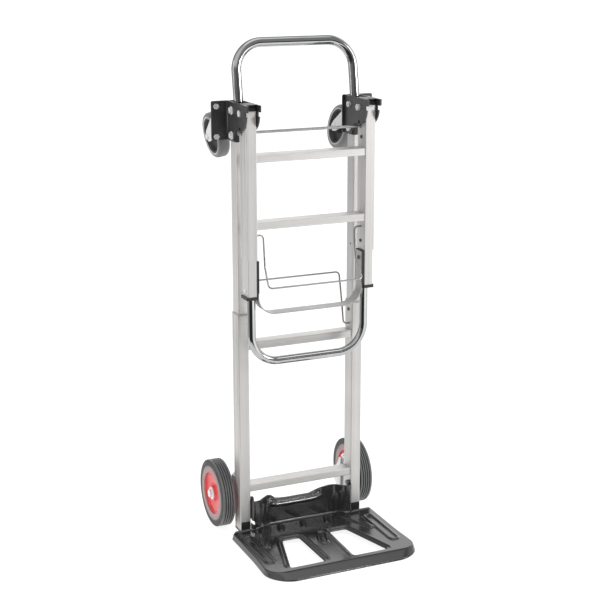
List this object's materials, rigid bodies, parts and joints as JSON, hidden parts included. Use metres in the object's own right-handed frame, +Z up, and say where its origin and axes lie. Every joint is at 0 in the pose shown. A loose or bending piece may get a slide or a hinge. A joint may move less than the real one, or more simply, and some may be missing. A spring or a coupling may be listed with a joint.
{
  "type": "folding hand truck",
  "caption": "Upright folding hand truck with a hinged pressed toe plate, folding wheels, a telescoping frame, rear casters and a swing-out push handle for use as a trolley.",
  "frame": {"origin": "on the floor, under the middle of the box around the standing truck", "axes": "+X to the right seen from the front, +Y to the back where the wheels are, +Z up"},
  "size_m": [0.4, 0.44, 1.146],
  "materials": {
    "aluminium": "satin",
    "chrome": "polished",
    "black_paint": "semi-gloss",
    "zinc": "zinc plated",
    "tyre_black": "matt",
    "hub_red": "gloss",
    "caster_grey": "matt",
    "plastic_black": "matt",
    "plastic_grey": "matt"
  },
  "bodies": {
    "lower_frame": {"lower_tube_left": "aluminium", "lower_tube_right": "aluminium", "lower_rung_bottom": "aluminium", "lower_rung_top": "aluminium", "foot_plugs": "plastic_black", "guide_collars": "plastic_grey", "lower_rivets": "black_paint", "toe_pivot_pins": "black_paint", "wheel_hinge_brackets": "zinc", "wheel_hinge_pins": "zinc"},
    "toe_plate": {"toe_plate": "black_paint"},
    "wheel_arm_left": {"wheel_arm_left": "zinc", "wheel_axle_left": "zinc", "axle_nut_left": "zinc"},
    "wheel_arm_right": {"wheel_arm_right": "zinc", "wheel_axle_right": "zinc", "axle_nut_right": "zinc"},
    "wheel_left": {"tyre_left": "tyre_black", "hub_left": "hub_red"},
    "wheel_right": {"tyre_right": "tyre_black", "hub_right": "hub_red"},
    "frame_lock_wire": {"frame_lock_wire": "zinc"},
    "upper_frame": {"upper_tube_left": "aluminium", "upper_tube_right": "aluminium", "slide_shoes": "plastic_black", "bracket_cores": "plastic_black", "bracket_left": "black_paint", "bracket_right": "black_paint", "bracket_through_bolts": "zinc", "swing_bolts": "zinc", "top_handle": "chrome", "caster_mount_left": "zinc", "caster_mount_right": "zinc", "caster_bolts": "zinc"},
    "caster_fork_left": {"caster_fork_left": "zinc", "caster_axle_left": "zinc"},
    "caster_fork_right": {"caster_fork_right": "zinc", "caster_axle_right": "zinc"},
    "caster_wheel_left": {"caster_tyre_left": "caster_grey", "caster_rim_left": "plastic_black"},
    "caster_wheel_right": {"caster_tyre_right": "caster_grey", "caster_rim_right": "plastic_black"},
    "front_frame": {"front_tube_left": "aluminium", "front_tube_right": "aluminium", "front_rung_top": "aluminium", "front_rung_bottom": "aluminium", "hinge_blocks": "plastic_black", "front_rivets": "black_paint"},
    "lock_rod": {"lock_rod": "zinc"},
    "push_lock_wire": {"push_lock_wire": "zinc"},
    "push_handle": {"push_tube_left": "aluminium", "push_tube_right": "aluminium", "push_loop": "chrome", "band_brace": "aluminium", "band_rivets": "black_paint", "push_cuffs": "plastic_black", "cuff_screws": "zinc"}
  },
  "joints": [
    {"name": "toe_plate_fold", "type": "hinge", "parent": "lower_frame", "child": "toe_plate", "pos_m": [0, 0.0565, 0.085], "axis": [-1, 0, 0], "range_deg": [0, 90]},
    {"name": "frame_slide", "type": "slide", "parent": "lower_frame", "child": "upper_frame", "axis": [0, 0, -1], "range_m": [0, 0.19]},
    {"name": "push_frame_swing", "type": "hinge", "parent": "upper_frame", "child": "front_frame", "pos_m": [0, 0.016, 0.9915], "axis": [-1, 0, 0], "range_deg": [0, 90]},
    {"name": "push_handle_slide", "type": "slide", "parent": "front_frame", "child": "push_handle", "axis": [0, 0, -1], "range_m": [0, 0.12]},
    {"name": "wheel_fold_left", "type": "hinge", "parent": "lower_frame", "child": "wheel_arm_left", "pos_m": [-0.1422, 0.108, 0.087], "axis": [0, 0, -1], "range_deg": [0, 90]},
    {"name": "wheel_spin_left", "type": "hinge", "parent": "wheel_arm_left", "child": "wheel_left", "pos_m": [-0.178, 0.14, 0.08], "axis": [1, 0, 0], "continuous": true},
    {"name": "caster_swivel_left", "type": "hinge", "parent": "upper_frame", "child": "caster_fork_left", "pos_m": [-0.1625, 0.11, 0.966], "axis": [0, 1, 0], "continuous": true},
    {"name": "wheel_fold_right", "type": "hinge", "parent": "lower_frame", "child": "wheel_arm_right", "pos_m": [0.1422, 0.108, 0.087], "axis": [0, 0, 1], "range_deg": [0, 90]},
    {"name": "wheel_spin_right", "type": "hinge", "parent": "wheel_arm_right", "child": "wheel_right", "pos_m": [0.178, 0.14, 0.08], "axis": [1, 0, 0], "continuous": true},
    {"name": "caster_swivel_right", "type": "hinge", "parent": "upper_frame", "child": "caster_fork_right", "pos_m": [0.1625, 0.11, 0.966], "axis": [0, 1, 0], "continuous": true},
    {"name": "caster_spin_left", "type": "hinge", "parent": "caster_fork_left", "child": "caster_wheel_left", "pos_m": [-0.15573, 0.1685, 0.92759], "axis": [0.9848, 0, 0.1736], "continuous": true},
    {"name": "caster_spin_right", "type": "hinge", "parent": "caster_fork_right", "child": "caster_wheel_right", "pos_m": [0.15573, 0.1685, 0.92759], "axis": [0.9848, 0, -0.1736], "continuous": true},
    {"name": "lock_rod_draw", "type": "slide", "parent": "front_frame", "child": "lock_rod", "axis": [0, 0, -1], "range_m": [-0.0081, 0.002]},
    {"name": "push_wire_swing", "type": "hinge", "parent": "front_frame", "child": "push_lock_wire", "pos_m": [0, 0.01, 0.724], "axis": [-1, 0, 0], "range_deg": [-8, 20]},
    {"name": "frame_wire_swing", "type": "hinge", "parent": "lower_frame", "child": "frame_lock_wire", "pos_m": [0, 0.066, 0.482], "axis": [-1, 0, 0], "range_deg": [-4, 12]}
  ],
  "couplings": [
    {"joint": "wheel_fold_left", "follows": "toe_plate_fold", "ratio": 1},
    {"joint": "wheel_fold_right", "follows": "toe_plate_fold", "ratio": 1}
  ]
}
